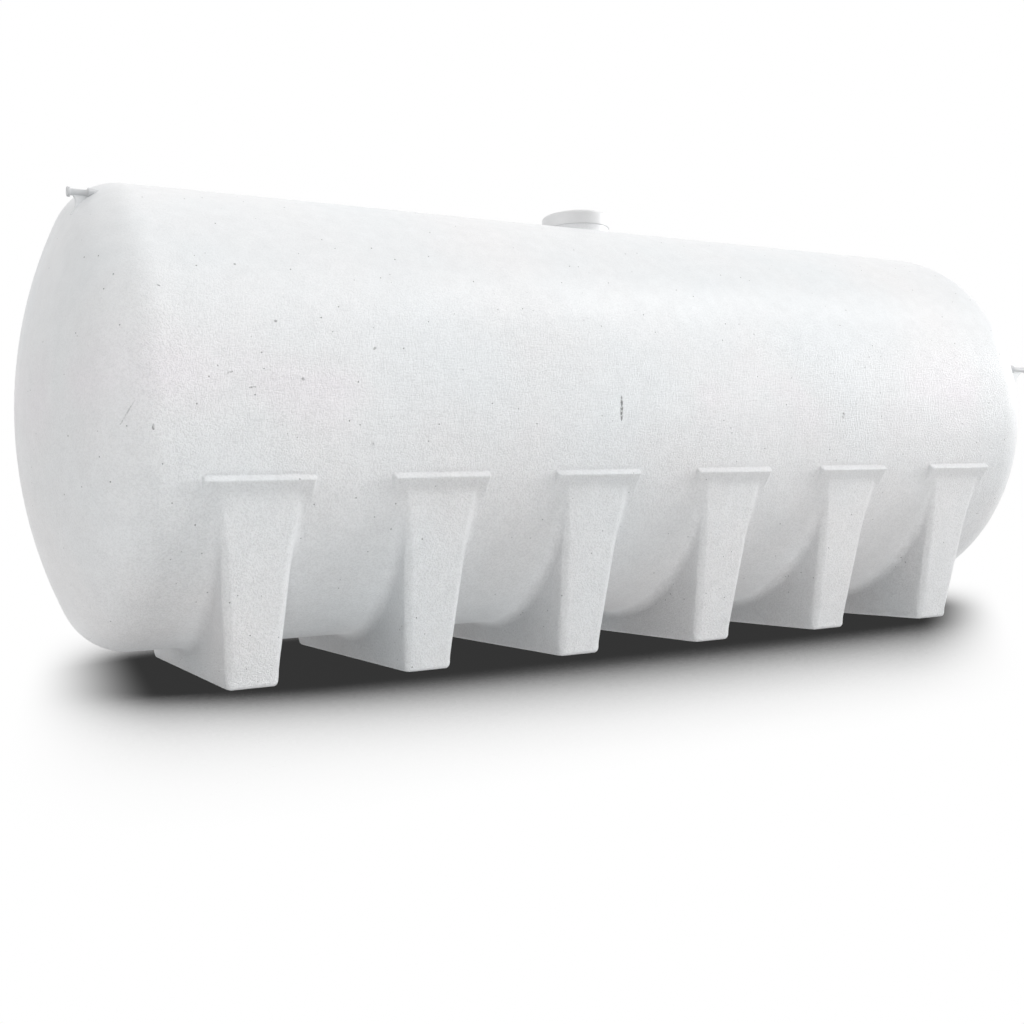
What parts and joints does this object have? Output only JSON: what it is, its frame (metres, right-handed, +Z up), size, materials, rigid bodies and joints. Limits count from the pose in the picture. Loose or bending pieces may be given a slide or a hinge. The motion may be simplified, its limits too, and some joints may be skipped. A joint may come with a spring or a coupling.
{
  "type": "horizontal water tank",
  "caption": "Long moulded plastic tank with dished ends, standing on hollow feet blended into its barrel, with a low manhole and lid on top.",
  "frame": {"origin": "on the ground, under the middle of the barrel", "axes": "+X along the barrel to its right end, +Y to the far side, +Z up"},
  "size_m": [5.784, 2.2, 2.438],
  "materials": {
    "shell": "off-white moulded polyethylene with a fine hammered grain",
    "lid": "light grey moulded polyethylene",
    "fittings": "light grey plastic pipe"
  },
  "bodies": {
    "root": {"barrel": "shell", "left_end": "shell", "right_end": "shell", "foot_1": "shell", "foot_2": "shell", "foot_3": "shell", "foot_4": "shell", "foot_5": "shell", "foot_6": "shell", "rib_1_front": "shell", "rib_1_back": "shell", "rib_2_front": "shell", "rib_2_back": "shell", "rib_3_front": "shell", "rib_3_back": "shell", "rib_4_front": "shell", "rib_4_back": "shell", "rib_5_front": "shell", "rib_5_back": "shell", "rib_6_front": "shell", "rib_6_back": "shell", "manhole_neck": "shell", "lid": "lid", "left_pipe": "fittings", "left_pipe_cap": "fittings", "left_pipe_web": "shell", "right_pipe": "fittings", "right_pipe_cap": "fittings", "right_pipe_web": "shell"}
  },
  "joints": []
}
